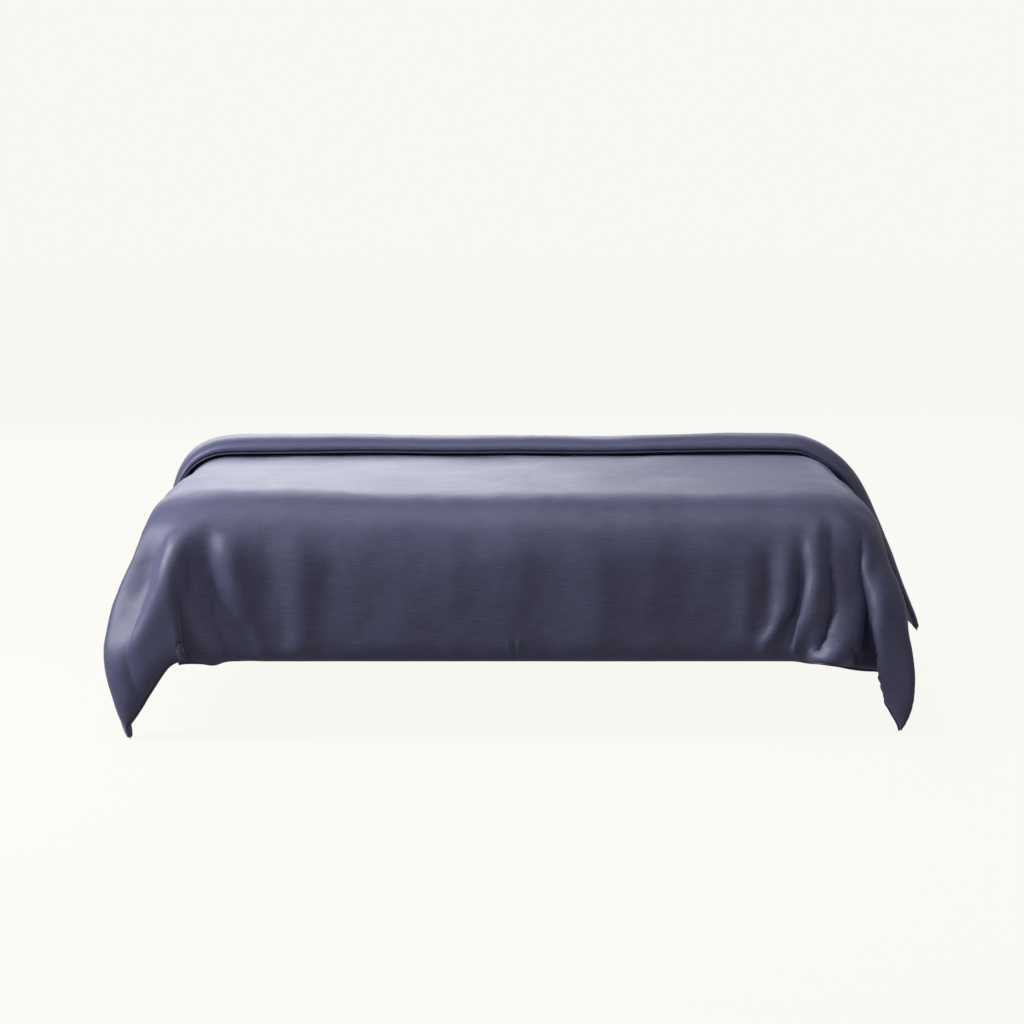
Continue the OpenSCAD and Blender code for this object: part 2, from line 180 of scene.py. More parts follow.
def dropCloth():
    form = makeForm()
    columns = int(round(clothWidth / drape["spacing"])) + 1
    rows = int(round(lowerLength / drape["spacing"])) + 1
    across = np.linspace(-duvet["halfWidth"], duvet["halfWidth"], columns)
    along = np.linspace(0, lowerLength, rows)
    points = [(u, foldY - lowerLength + s, halfLoft) for s in along for u in across]
    faces = []
    for j in range(rows - 1):
        for i in range(columns - 1):
            a = j * columns + i
            faces.append((a, a + 1, a + columns + 1, a + columns))
    mesh = bpy.data.meshes.new("drapedCloth")
    mesh.from_pydata(points, [], faces)
    cloth = bpy.data.objects.new("drapedCloth", mesh)
    scene.collection.objects.link(cloth)
    held = cloth.vertex_groups.new(name="held")
    onTop = [k for k, (x, y, z) in enumerate(points) if abs(x) < 0.70 and y > -0.93]
    held.add(onTop, 1.0, "REPLACE")
    modifier = cloth.modifiers.new("drape", "CLOTH")
    settings = modifier.settings
    settings.vertex_group_mass = "held"
    settings.quality = drape["quality"]
    settings.mass = drape["mass"]
    settings.air_damping = drape["air"]
    settings.bending_model = "ANGULAR"
    settings.tension_stiffness = drape["stretch"]
    settings.compression_stiffness = drape["stretch"]
    settings.shear_stiffness = drape["shear"]
    settings.bending_stiffness = drape["bending"]
    settings.tension_damping = drape["damping"]
    settings.compression_damping = drape["damping"]
    settings.shear_damping = drape["damping"]
    settings.bending_damping = 0.5
    modifier.collision_settings.use_self_collision = False
    modifier.collision_settings.distance_min = drape["skin"]
    modifier.collision_settings.collision_quality = 2
    modifier.point_cache.frame_start = 1
    modifier.point_cache.frame_end = drape["frames"]
    scene.frame_start = 1
    scene.frame_end = drape["frames"]
    for k in range(1, drape["frames"] + 1):
        scene.frame_set(k)
    settled = cloth.evaluated_get(bpy.context.evaluated_depsgraph_get())
    shape = np.array([v.co[:] for v in settled.data.vertices]).reshape(rows, columns, 3)
    for o in (cloth, form):
        bpy.data.objects.remove(o, do_unlink=True)
    scene.frame_set(1)
    return shape, across, along


settledShape, simAcross, simAlong = dropCloth()
print("draped cloth settled", settledShape.min((0, 1)).round(3), settledShape.max((0, 1)).round(3))


# one smooth middle surface, from the foot hem over the top and round the fold

def makeLines(stops):
    # stops are (place, step from here to the next one)
    lines = []
    for (here, spacing), (there, _) in zip(stops, stops[1:]):
        count = max(1, int(math.ceil((there - here) / spacing - 1e-6)))
        lines += list(np.linspace(here, there, count + 1)[:-1])
    return np.array(lines + [stops[-1][0]])


step = duvet["gridStep"]
w = duvet["halfWidth"]
hemStops = (0.0015, 0.0045, 0.009)     # mesh lines that follow each hem
foldStep = 0.004
chamberEdge = duvet["chamberEdge"]
puckerFrom, puckerTo, puckerStep = -0.035, 0.045, 0.0025    # finer where the hem puckers
acrossStops = [(-w, 1), (-w + hemStops[0], 1), (-w + hemStops[1], 1), (-w + hemStops[2], step)]
acrossStops += [(-chamberEdge, step), (-zipHalf, step), (puckerFrom, puckerStep), (puckerTo, step)]
acrossStops += [(zipHalf, step), (chamberEdge, step), (w - hemStops[2], 1)]
acrossStops += [(w - hemStops[1], 1), (w - hemStops[0], 1), (w, 1)]
uLines = makeLines(acrossStops)
slot = duvet["slotHalf"]
alongStops = [(0, 1), (hemStops[0], 1), (hemStops[1], 1), (hemStops[2], step)]
alongStops += [(zipS - slot, 1), (zipS, 1), (zipS + slot, step), (lowerLength, foldStep)]
alongStops += [(lowerLength + foldArc, step), (clothLength - hemStops[2], 1)]
alongStops += [(clothLength - hemStops[1], 1), (clothLength - hemStops[0], 1), (clothLength, 1)]
sLines = makeLines(alongStops)
uGrid, sGrid = np.meshgrid(uLines, sLines)
foldRow = int(np.argmin(abs(sLines - lowerLength)))


def smoothSample(values, known, wanted):
    # a smooth curve through the known rows
    spacing = known[1] - known[0]
    t = np.clip((wanted - known[0]) / spacing, 0, len(known) - 1.000001)
    i = np.floor(t).astype(int)
    f = (t - i).reshape([-1] + [1] * (values.ndim - 1))
    ends = np.concatenate([2 * values[:1] - values[1:2], values, 2 * values[-1:] - values[-2:-1]])
    a, b, c, d = ends[i], ends[i + 1], ends[i + 2], ends[i + 3]
    return b + 0.5 * f * (c - a + f * (2 * a - 5 * b + 4 * c - d + f * (3 * (b - c) + d - a)))


def gridNormals(points, along):
    across = np.gradient(points, uLines, axis=1)
    up = np.gradient(points, along, axis=0)
    return unit(np.cross(across, up))


def hemDistance(u, s):
    return np.minimum(np.minimum(w - abs(u), s), clothLength - s)


def headPuff(u, s):
    # 0 to 1: the turned-back layer is full and round just behind its hem
    ramp = (s - lowerLength - foldArc) / flapLength
    return (1 - fade(ramp, 0.30, 0.82)) * fade(u, 0.82, 1.06) * fade(-u, 0.70, 0.92)


def roundedHalf(distance, reach, half, least):
    t = np.clip(distance / reach, 0, 1)
    return least + (half - least) * np.sqrt(1 - (1 - t) ** 2)


def coverHalf(u, s):
    underHem = lowerLength - flapLength
    pressed = duvet["pressed"] * (1 - fade(s, underHem - 0.06, underHem + 0.03)) * (1 - headPuff(u, s))
    fromHem = hemDistance(u, s)
    full = halfLoft + duvet["headLoft"] * headPuff(u, s)
    rounded = roundedHalf(fromHem, duvet["edgeRound"], full, duvet["seamThick"] * 0.42)
    return rounded * (1 - pressed * np.clip(fromHem / duvet["edgeRound"], 0, 1))


halfThick = coverHalf(uGrid, sGrid)

shape = settledShape.copy()
for k in range(2):
    shape[1:-1, 1:-1] = (shape[1:-1, 1:-1] * 4 + shape[:-2, 1:-1] + shape[2:, 1:-1]
                         + shape[1:-1, :-2] + shape[1:-1, 2:]) / 8
lower = smoothSample(shape, simAlong, sLines[:foldRow + 1])
lower = smoothSample(lower.swapaxes(0, 1), simAcross, uLines).swapaxes(0, 1)

# the corner ears hang closer in than they first drop
ears = {
    "footLimit": 1.135,         # how far out of the foot they may hang before they are held back
    "footMore": 0.028,
    "sideLimit": 0.842,
    "sideMore": 0.026,
    "tipIn": 0.045,
    "rightIn": 0.032,
    "leftIn": 0.020,
    "rightNarrow": 0.022,
    "narrowZ": -0.42,           # height at which the right ear is narrowed most
}


def softLimit(excess, most):
    return most * np.tanh(np.maximum(excess, 0) / most)


atCorner = 1 - fade(-lower[..., 1], 0.72, 0.98)
deep = np.clip((-lower[..., 2] - 0.30) / 0.20, 0, 1.2)
pastFoot = -lower[..., 1] - ears["footLimit"]
heldBack = -ears["footLimit"] - softLimit(pastFoot, ears["footMore"])
lower[..., 1] = np.where(pastFoot > 0, heldBack, lower[..., 1])
side = np.sign(lower[..., 0])
pastSide = abs(lower[..., 0]) - ears["sideLimit"]
drawnIn = side * (ears["sideLimit"] + softLimit(pastSide, ears["sideMore"]))
share = atCorner * (1 - fade(-lower[..., 2], 0.16, 0.30))
lower[..., 0] = np.where(pastSide > 0, lower[..., 0] + share * (drawnIn - lower[..., 0]), lower[..., 0])
lower[..., 0] -= side * atCorner * ears["tipIn"] * deep ** 1.4
upperEar = fade(-lower[..., 2], 0.24, 0.44) * (1 - fade(-lower[..., 2], 0.03, 0.15))
lower[..., 0] -= ears["rightIn"] * atCorner * upperEar * (1 - fade(lower[..., 0], 0.70, 0.80))
upperLeft = fade(-lower[..., 2], 0.16, 0.33) * (1 - fade(-lower[..., 2], 0.03, 0.15))
lower[..., 0] += ears["leftIn"] * atCorner * upperLeft * (1 - fade(-lower[..., 0], 0.70, 0.80))
innerEdge = np.clip((0.85 - lower[..., 0]) / 0.07, 0, 1) * (1 - fade(lower[..., 0], 0.70, 0.76))
lowerEar = np.exp(-((lower[..., 2] - ears["narrowZ"]) / 0.045) ** 2)
lower[..., 0] += ears["rightNarrow"] * atCorner * innerEdge * lowerEar

# the strip that holds the zip hangs plumb and flat
uLow = uGrid[:foldRow + 1]
sLow = sGrid[:foldRow + 1]
zipFlat = fade(abs(uLow), 0.60, 0.68) * fade(sLow, 0.075, 0.17)
zipTarget = np.stack([uLow, footInsideY - halfThick[:foldRow + 1], hemZ + sLow], -1)
lower += zipFlat[..., None] * (zipTarget - lower)

# soft folds: points are (across, up from the foot hem); height + is a ridge, - a valley
softFolds = [
    {"line": [(-0.655, 0.29), (-0.651, 0.20), (-0.631, 0.12), (-0.603, 0.056), (-0.562, 0.0)],
     "wide": 0.020, "height": -0.012},
    {"line": [(-0.73, 0.30), (-0.715, 0.16), (-0.68, 0.08), (-0.64, 0.01)],
     "wide": 0.030, "height": 0.011},
    {"line": [(-0.605, 0.28), (-0.60, 0.18), (-0.575, 0.10), (-0.53, 0.02)],
     "wide": 0.024, "height": 0.010},
    {"line": [(-0.575, 0.10), (-0.558, 0.02)], "wide": 0.010, "height": -0.004},
    {"line": [(-0.46, 0.29), (-0.455, 0.03)], "wide": 0.036, "height": 0.008},
    {"line": [(-0.535, 0.27), (-0.515, 0.05)], "wide": 0.030, "height": -0.006},
    {"line": [(-0.39, 0.26), (-0.38, 0.04)], "wide": 0.032, "height": -0.004},
    {"line": [(-0.80, 0.36), (-0.85, 0.24), (-0.93, 0.10), (-1.00, -0.03)],
     "wide": 0.020, "height": -0.005},
    {"line": [(-0.87, 0.40), (-0.91, 0.26), (-0.99, 0.12), (-1.06, -0.02)],
     "wide": 0.024, "height": 0.005},
    {"line": [(0.700, 0.33), (0.748, 0.24), (0.764, 0.15), (0.742, 0.06), (0.70, 0.0)],
     "wide": 0.026, "height": 0.014},
    {"line": [(0.676, 0.29), (0.684, 0.20), (0.694, 0.12), (0.672, 0.03)],
     "wide": 0.014, "height": -0.012},
    {"line": [(0.650, 0.30), (0.655, 0.18), (0.645, 0.10), (0.61, 0.03)], "wide": 0.015, "height": 0.011},
    {"line": [(0.618, 0.27), (0.620, 0.14), (0.590, 0.05)], "wide": 0.014, "height": -0.009},
    {"line": [(0.590, 0.25), (0.585, 0.12), (0.54, 0.03)], "wide": 0.016, "height": 0.009},
    {"line": [(0.548, 0.24), (0.545, 0.08)], "wide": 0.018, "height": -0.006},
    {"line": [(0.505, 0.25), (0.50, 0.05)], "wide": 0.026, "height": 0.005},
    {"line": [(0.62, 0.030), (0.70, 0.050), (0.78, 0.025)], "wide": 0.010, "height": -0.005},
    {"line": [(0.82, 0.34), (0.86, 0.22), (0.90, 0.12), (0.95, -0.02)],
     "wide": 0.020, "height": -0.006},
    {"line": [(-0.137, 0.03), (-0.120, 0.0)], "wide": 0.012, "height": 0.002},
    {"line": [(0.18, 0.26), (0.19, 0.06)], "wide": 0.05, "height": 0.004},
    {"line": [(-0.20, 0.27), (-0.22, 0.05)], "wide": 0.05, "height": 0.004},
]
hemPucker = [
    {"line": [(-0.010, 0.050), (-0.004, 0.0)], "wide": 0.0045, "height": 0.0024},
    {"line": [(0.004, 0.046), (0.004, 0.0)], "wide": 0.0040, "height": -0.0028},
    {"line": [(0.016, 0.052), (0.012, 0.0)], "wide": 0.0045, "height": 0.0026},
    {"line": [(0.030, 0.040), (0.021, 0.0)], "wide": 0.0045, "height": -0.0022},
]


def foldHeights(u, s, folds):
    total = np.zeros_like(u)
    for fold in folds:
        line = np.array(fold["line"])
        lengths = np.linalg.norm(np.diff(line, axis=0), axis=1)
        whole = lengths.sum()
        nearest = np.full(u.shape, 9.0)
        place = np.zeros_like(u)
        before = 0.0
        for a, b, length in zip(line, line[1:], lengths):
            t = np.clip(((u - a[0]) * (b[0] - a[0]) + (s - a[1]) * (b[1] - a[1])) / length ** 2, 0, 1)
            away = np.hypot(u - a[0] - t * (b[0] - a[0]), s - a[1] - t * (b[1] - a[1]))
            closer = away < nearest
            nearest = np.where(closer, away, nearest)
            place = np.where(closer, (before + t * length) / whole, place)
            before += length
        fadeIn = np.sin(np.clip(place * 0.94 + 0.03, 0, 1) * math.pi * 0.62) ** 0.8
        total += fold["height"] * fadeIn * np.exp(-(nearest / fold["wide"]) ** 2)
    return total


def softNoise(u, s, scaleU, scaleS, seed):
    values = [noise.noise((a * scaleU, b * scaleS, seed)) for a, b in zip(u.ravel(), s.ravel())]
    return np.array(values).reshape(u.shape)


# height, waves per metre across, waves per metre along, seed
puffs = {
    "broad": (0.0075, 2.6, 2.2, 3.0),
    "hanging": (0.0060, 9.0, 2.0, 11.0),
    "sides": (0.0130, 1.6, 6.0, 17.0),
    "ripples": (0.0016, 3.5, 17.0, 41.0),
    "middling": (0.0028, 7.0, 6.0, 23.0),
    "small": (0.0008, 28.0, 24.0, 29.0),
}
foldDepth = 1.45
crown = 0.008       # how much the middle rises just before the foot bend


def puffed(name, u, s):
    height, across, along, seed = puffs[name]
    return height * softNoise(u, s, across, along, seed)


relief = foldDepth * foldHeights(uLow, sLow, softFolds)
rises = 1 - fade(sLow, footToFlat - 0.05, footToFlat + 0.20)
falls = fade(sLow, footToFlat + 0.22, footToFlat + 0.60)
relief += crown * rises * falls * fade(abs(uLow), 0.55, 0.80)
relief += puffed("broad", uLow, sLow)
relief += puffed("hanging", uLow, sLow) * fade(sLow, 0.20, 0.40)
sideDrop = 1 - fade(abs(uLow), 0.80, 0.95)
relief += puffed("sides", uLow, sLow) * sideDrop * (1 - fade(sLow, 0.3, 0.5))
relief += puffed("ripples", uLow, sLow) * (1 - fade(sLow, 0.45, 0.7))
nearZip = 0.95 * zipFlat
lower += gridNormals(lower, sLines[:foldRow + 1]) * (relief * (1 - nearZip))[..., None]
faceOnly = np.zeros_like(uGrid)
faceOnly[:foldRow + 1] = np.maximum(relief, -0.0016) * nearZip    # over the zip only the outside folds
print("lower layer", lower.shape)

# the head end: each turned row copies the lower row beneath it, further out, at its own cloth width
lowerNormals = gridNormals(lower, sLines[:foldRow + 1])
lengthDirection = unit(np.gradient(lower, sLines[:foldRow + 1], axis=0)[foldRow])
middle = int(np.argmin(abs(uLines)))


def runLengths(row):
    run = np.concatenate([[0], np.cumsum(np.linalg.norm(np.diff(row, axis=0), axis=1))])
    return run - run[middle]


def samePlaceOn(row, under):
    have = runLengths(row)
    want = runLengths(under)
    return np.stack([np.interp(want, have, row[:, k]) for k in range(3)], -1)


turned = {
    "rightFlare": 0.088,        # how far the right end of the hem swings out
    "rightDrop": 0.090,         # and how far it hangs lower
    "leftFlare": 0.010,
    "rightForward": 0.10,       # and how far its tip swings towards the foot
    "hangFrom": 0.70,           # where across the bed its ends begin to hang freely
    "hangCurve": 0.95,
    "hemWander": 0.006,
    "waviness": 0.002,
    "hemRound": 0.055,          # distance from its hem in which it comes down to the layer below
}
rows = list(lower)
radius = duvet["foldRadius"]
for s in sLines[foldRow + 1:]:
    past = s - lowerLength
    if past < foldArc:
        turn = past / radius
        under = lower[foldRow]
        normal = lowerNormals[foldRow]
        offset = radius * (1 - math.cos(turn)) * normal + radius * math.sin(turn) * lengthDirection
        back = 0.0
    else:
        back = past - foldArc
        underS = lowerLength - back
        k = min(int(np.searchsorted(sLines[:foldRow + 1], underS, side="right")) - 1, foldRow - 1)
        share = (underS - sLines[k]) / (sLines[k + 1] - sLines[k])
        under = lower[k] * (1 - share) + lower[k + 1] * share
        normal = unit(lowerNormals[k] * (1 - share) + lowerNormals[k + 1] * share)
        roundedDown = roundedHalf(clothLength - s, turned["hemRound"], 1.0, 0.0)
        stands = duvet["headLift"] * roundedDown * headPuff(uLines, s)
        offset = (2 * radius + stands)[:, None] * normal
    row = samePlaceOn(under + offset, under)
    ramp = back / flapLength
    hangFrom = turned["hangFrom"]
    hang = np.clip((abs(uLines) - hangFrom) / (w - hangFrom), 0, 1) ** turned["hangCurve"]
    swing = np.where(uLines > 0, turned["rightFlare"], -turned["leftFlare"])
    row[:, 0] += hang * swing * min(1, back * 12) * (0.25 + 0.75 * ramp)
    row[:, 2] -= hang * np.where(uLines > 0, turned["rightDrop"], 0.0) * ramp
    wander = np.array([noise.noise((u * 2.3, 5.0, 1.0)) for u in uLines])
    row[:, 1] += turned["hemWander"] * wander * ramp ** 2
    row[:, 1] -= turned["rightForward"] * hang ** 2 * ramp * (uLines > 0)
    waves = np.array([noise.noise((u * 4.0, back * 5, 7.0)) for u in uLines])
    row[:, 2] += turned["waviness"] * waves * min(1, back * 20)
    rows.append(row)
middleSurface = np.array(rows)
normals = gridNormals(middleSurface, sLines)


def surfacePoints(u, s, h):
    # points on the middle surface at flat place (u, s), then h out along its normal
    i = np.clip(np.searchsorted(uLines, u, side="right") - 1, 0, len(uLines) - 2)
    j = np.clip(np.searchsorted(sLines, s, side="right") - 1, 0, len(sLines) - 2)
    a = ((u - uLines[i]) / (uLines[i + 1] - uLines[i]))[..., None]
    b = ((s - sLines[j]) / (sLines[j + 1] - sLines[j]))[..., None]

    def mixed(grid):
        low = grid[j, i] * (1 - a) + grid[j, i + 1] * a
        high = grid[j + 1, i] * (1 - a) + grid[j + 1, i + 1] * a
        return low * (1 - b) + high * b

    return mixed(middleSurface) + unit(mixed(normals)) * np.asarray(h)[..., None]


def roundedTips(u, s):
    # flat places with the cloth's four corners drawn in to a round
    r = duvet["tipRound"]
    a = np.clip((abs(u) - (w - r)) / r, 0, 1)
    foot = np.clip((r - s) / r, 0, 1)
    head = np.clip((s - (clothLength - r)) / r, 0, 1)
    b = np.maximum(foot, head)
    inA = a * np.sqrt(1 - b * b / 2)
    inB = b * np.sqrt(1 - a * a / 2)
    newU = np.where(a > 0, np.sign(u) * (w - r + r * inA), u)
    newS = np.where(foot > 0, r - r * inB, np.where(head > 0, clothLength - r + r * inB, s))
    return newU, newS


middleSurface = surfacePoints(*roundedTips(uGrid, sGrid), np.zeros_like(uGrid))
normals = gridNormals(middleSurface, sLines)
print("turned-back layer", middleSurface.shape)

# the two sides of the cover
faceNoise = puffed("middling", uGrid, sGrid)
faceNoise += puffed("small", uGrid, sGrid)
faceNoise += foldHeights(uGrid, sGrid, hemPucker) * fade(sGrid, 0.06, 0.2) + faceOnly
plainEdge = np.clip(hemDistance(uGrid, sGrid) / 0.02, 0.25, 1)
turnedPart = 1 - fade(sGrid, lowerLength - 0.06, lowerLength)
faceSide = middleSurface + normals * (halfThick + faceNoise * plainEdge * (1 - 0.8 * turnedPart))[..., None]
backSide = middleSurface - normals * (halfThick + 0.7 * faceNoise * plainEdge * turnedPart)[..., None]
flatBack = np.stack([uGrid, np.full_like(uGrid, footInsideY), hemZ + sGrid], -1)
zipStrip = (fade(abs(uGrid), 0.597, 0.66) * fade(sGrid, 0.07, 0.13) * (sGrid < 0.5))[..., None]
backSide += zipStrip * (flatBack - backSide)


# materials

def newMaterial(name):
    material = bpy.data.materials.new(name)
    material.use_nodes = True
    return material, material.node_tree, material.node_tree.nodes["Principled BSDF"]


def addNode(tree, kind, inputs=None, **settings):
    made = tree.nodes.new(kind)
    for key, value in settings.items():
        setattr(made, key, value)
    for key, value in (inputs or {}).items():
        if isinstance(value, bpy.types.NodeSocket):
            tree.links.new(value, made.inputs[key])
        else:
            made.inputs[key].default_value = value
    return made


def stretchedNoise(tree, coordinate, scale, detail):
    place = addNode(tree, "ShaderNodeMapping", {"Vector": coordinate, "Scale": scale})
    texture = addNode(tree, "ShaderNodeTexNoise", {"Vector": place.outputs[0], "Scale": 1.0,
                                                   "Detail": detail})
    return texture.outputs[0]


def blendValues(tree, operation, first, second):
    return addNode(tree, "ShaderNodeMath", {0: first, 1: second}, operation=operation).outputs[0]


def wovenCloth(name, look, fromUv=True):
    material, tree, shader = newMaterial(name)
    if fromUv:
        coordinate = addNode(tree, "ShaderNodeUVMap", uv_map="flat").outputs[0]
    else:
        coordinate = addNode(tree, "ShaderNodeTexCoord").outputs["Object"]
    thread = look["thread"]
    weft = stretchedNoise(tree, coordinate, (22, 1 / thread, 22), 2.0)
    warp = stretchedNoise(tree, coordinate, (1 / thread, 22, 22), 2.0)
    cloud = stretchedNoise(tree, coordinate, (6, 6, 6), 3.0)
    threads = addNode(tree, "ShaderNodeMapping", {"Vector": coordinate, "Rotation": (0, 0, 0.46)})
    floats = addNode(tree, "ShaderNodeTexWave", {"Vector": threads.outputs[0], "Scale": look["floats"],
                                                 "Distortion": 1.5, "Detail": 1.0})
    slubs = blendValues(tree, "MULTIPLY_ADD", warp, 0.40)
    tree.links.new(weft, slubs.node.inputs[2])
    grain = blendValues(tree, "MULTIPLY_ADD", floats.outputs["Fac"], 0.35)
    tree.links.new(slubs, grain.node.inputs[2])
    tone = addNode(tree, "ShaderNodeMapRange", {"Value": slubs, "From Min": 0.46, "From Max": 0.94,
                                                "To Min": -0.1, "To Max": 0.8})
    toneMix = blendValues(tree, "MULTIPLY_ADD", cloud, 0.3)
    tree.links.new(tone.outputs[0], toneMix.node.inputs[2])
    colour = addNode(tree, "ShaderNodeValToRGB", {"Fac": toneMix})
    colour.color_ramp.elements[0].color = (*look["dark"], 1)
    colour.color_ramp.elements[1].color = (*look["light"], 1)
    tree.links.new(colour.outputs[0], shader.inputs["Base Color"])
    rough = addNode(tree, "ShaderNodeMapRange", {"Value": cloud, "From Min": 0.3, "From Max": 0.7,
                                                 "To Min": look["rough"][0], "To Max": look["rough"][1]})
    tree.links.new(rough.outputs[0], shader.inputs["Roughness"])
    bump = addNode(tree, "ShaderNodeBump", {"Height": grain, "Strength": look["bump"], "Distance": 0.0004})
    tree.links.new(bump.outputs[0], shader.inputs["Normal"])
    shader.inputs["IOR"].default_value = look["ior"]
    shader.inputs["Sheen Weight"].default_value = look["sheen"]
    shader.inputs["Sheen Roughness"].default_value = look["sheenRough"]
    shader.inputs["Sheen Tint"].default_value = (*look["sheenTint"], 1)
    return material


sateenLook = {
    "dark": (0.044, 0.044, 0.092), "light": (0.088, 0.087, 0.166), "thread": 0.0011, "floats": 420.0,
    "rough": (0.36, 0.44), "bump": 0.5, "ior": 1.42, "sheen": 0.35, "sheenRough": 0.32,
    "sheenTint": (0.70, 0.71, 0.98),
}
seamLook = dict(sateenLook, dark=(0.034, 0.034, 0.064), light=(0.054, 0.054, 0.096), sheen=0.15)
insertLook = dict(sateenLook, dark=(0.72, 0.71, 0.67), light=(0.86, 0.85, 0.81), rough=(0.75, 0.85),
                  thread=0.0008, sheen=0.1, sheenTint=(1, 1, 1), bump=0.3)
fillLook = dict(insertLook, dark=(0.84, 0.84, 0.82), light=(0.93, 0.93, 0.91), rough=(0.9, 1.0), bump=0.8,
                thread=0.006)
labelLook = dict(insertLook, dark=(0.78, 0.77, 0.74), light=(0.88, 0.87, 0.85), rough=(0.45, 0.55))
tapeLook = dict(sateenLook, dark=(0.020, 0.020, 0.040), light=(0.038, 0.038, 0.068), rough=(0.7, 0.8),
                thread=0.0009, bump=0.6, sheen=0.1)
sateen = wovenCloth("slateSateen", sateenLook)
seamCloth = wovenCloth("slateSeamCloth", seamLook)
insertCloth = wovenCloth("downproofCotton", insertLook)
fillWool = wovenCloth("looseFill", fillLook)
labelCloth = wovenCloth("labelTape", labelLook)
zipTapeCloth = wovenCloth("zipTapeWeave", tapeLook, fromUv=False)


def hardFinish(name, look):
    material, tree, shader = newMaterial(name)
    coordinate = addNode(tree, "ShaderNodeTexCoord").outputs["Object"]
    streaks = stretchedNoise(tree, coordinate, look["streaks"], 3.0)
    colour = addNode(tree, "ShaderNodeValToRGB", {"Fac": streaks})
    colour.color_ramp.elements[0].color = (*look["dark"], 1)
    colour.color_ramp.elements[1].color = (*look["light"], 1)
    tree.links.new(colour.outputs[0], shader.inputs["Base Color"])
    rough = addNode(tree, "ShaderNodeMapRange", {"Value": streaks, "To Min": look["rough"][0],
                                                 "To Max": look["rough"][1]})
    tree.links.new(rough.outputs[0], shader.inputs["Roughness"])
    bump = addNode(tree, "ShaderNodeBump", {"Height": streaks, "Strength": 0.2, "Distance": 0.00005})
    tree.links.new(bump.outputs[0], shader.inputs["Normal"])
    shader.inputs["Metallic"].default_value = look["metal"]
    return material


metalLook = {
    "dark": (0.30, 0.30, 0.33), "light": (0.52, 0.52, 0.55), "rough": (0.28, 0.45),
    "metal": 1.0, "streaks": (300, 4000, 4000),
}
coilLook = {
    "dark": (0.020, 0.020, 0.040), "light": (0.034, 0.034, 0.060), "rough": (0.35, 0.5),
    "metal": 0.0, "streaks": (900, 900, 900),
}
brushedMetal = hardFinish("brushedZipMetal", metalLook)
coilPlastic = hardFinish("zipCoilNylon", coilLook)
print("materials ready")


# making pieces

def addPiece(name, points, faces, flat, material, slotName, nodes, smooth=True, thick=0.0):
    mesh = bpy.data.meshes.new(name)
    mesh.from_pydata([tuple(p) for p in points], [], faces)
    layer = mesh.uv_layers.new(name="flat")
    corners = np.zeros(len(mesh.loops), np.int32)
    mesh.loops.foreach_get("vertex_index", corners)
    layer.data.foreach_set("uv", np.asarray(flat, np.float32)[corners].ravel())
    mesh.polygons.foreach_set("use_smooth", [smooth] * len(mesh.polygons))
    mesh.materials.append(material)
    piece = bpy.data.objects.new(name, mesh)
    scene.collection.objects.link(piece)
    if thick:
        solid = piece.modifiers.new("clothThickness", "SOLIDIFY")
        solid.thickness = abs(thick)
        solid.offset = math.copysign(1, thick)
    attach(piece, "duvet")
    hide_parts(*nodes)
    return piece


def sheetFrom(points, keep, outward=True):
    # the cells of the flat grid where keep is true
    rowCount, columnCount = uGrid.shape
    used = np.full(rowCount * columnCount, -1)
    cells = []
    for j, i in zip(*np.nonzero(keep)):
        a = j * columnCount + i
        cell = (a, a + 1, a + columnCount + 1, a + columnCount)
        cells.append(cell if outward else cell[::-1])
    wanted = np.unique(np.array(cells))
    used[wanted] = np.arange(len(wanted))
    faces = [tuple(int(used[k]) for k in cell) for cell in cells]
    flat = np.stack([uGrid.ravel(), sGrid.ravel()], -1)[wanted]
    return points.reshape(-1, 3)[wanted], faces, flat


def slab(us, ss, low, high):
    # a closed block that follows the duvet, between heights low and high from its middle
    u, s = np.meshgrid(us, ss)
    lowH = low(u, s) if callable(low) else np.full(u.shape, float(low))
    highH = high(u, s) if callable(high) else np.full(u.shape, float(high))
    bottom = surfacePoints(u, s, lowH).reshape(-1, 3)
    top = surfacePoints(u, s, highH).reshape(-1, 3)
    rowCount, columnCount = u.shape
    count = rowCount * columnCount
    faces = []
    for j in range(rowCount - 1):
        for i in range(columnCount - 1):
            a = j * columnCount + i
            b, c, d = a + 1, a + columnCount + 1, a + columnCount
            faces.append((a + count, b + count, c + count, d + count))
            faces.append((d, c, b, a))
    rim = list(range(columnCount))
    rim += [j * columnCount + columnCount - 1 for j in range(1, rowCount)]
    rim += [(rowCount - 1) * columnCount + i for i in range(columnCount - 2, -1, -1)]
    rim += [j * columnCount for j in range(rowCount - 2, 0, -1)]
    for a, b in zip(rim, rim[1:] + rim[:1]):
        faces.append((a, b, b + count, a + count))
    flat = np.stack([u.ravel(), s.ravel()], -1)
    return np.concatenate([bottom, top]), faces, np.concatenate([flat, flat])


def joined(parts):
    points, faces, flat, base = [], [], [], 0
    for part in parts:
        points.append(part[0])
        flat.append(part[2])
        faces += [tuple(k + base for k in face) for face in part[1]]
        base += len(part[0])
    return np.concatenate(points), faces, np.concatenate(flat)


# cover

cellU = (uLines[:-1] + uLines[1:]) / 2
cellS = (sLines[:-1] + sLines[1:]) / 2
cellUGrid, cellSGrid = np.meshgrid(cellU, cellS)
everywhere = np.ones(cellUGrid.shape, bool)
zipOpening = (abs(cellUGrid) < zipHalf) & (abs(cellSGrid - zipS) < slot)
facingCells = (abs(cellUGrid) < chamberEdge) & (cellSGrid < zipS) & ~zipOpening
backCells = ~zipOpening & ~facingCells

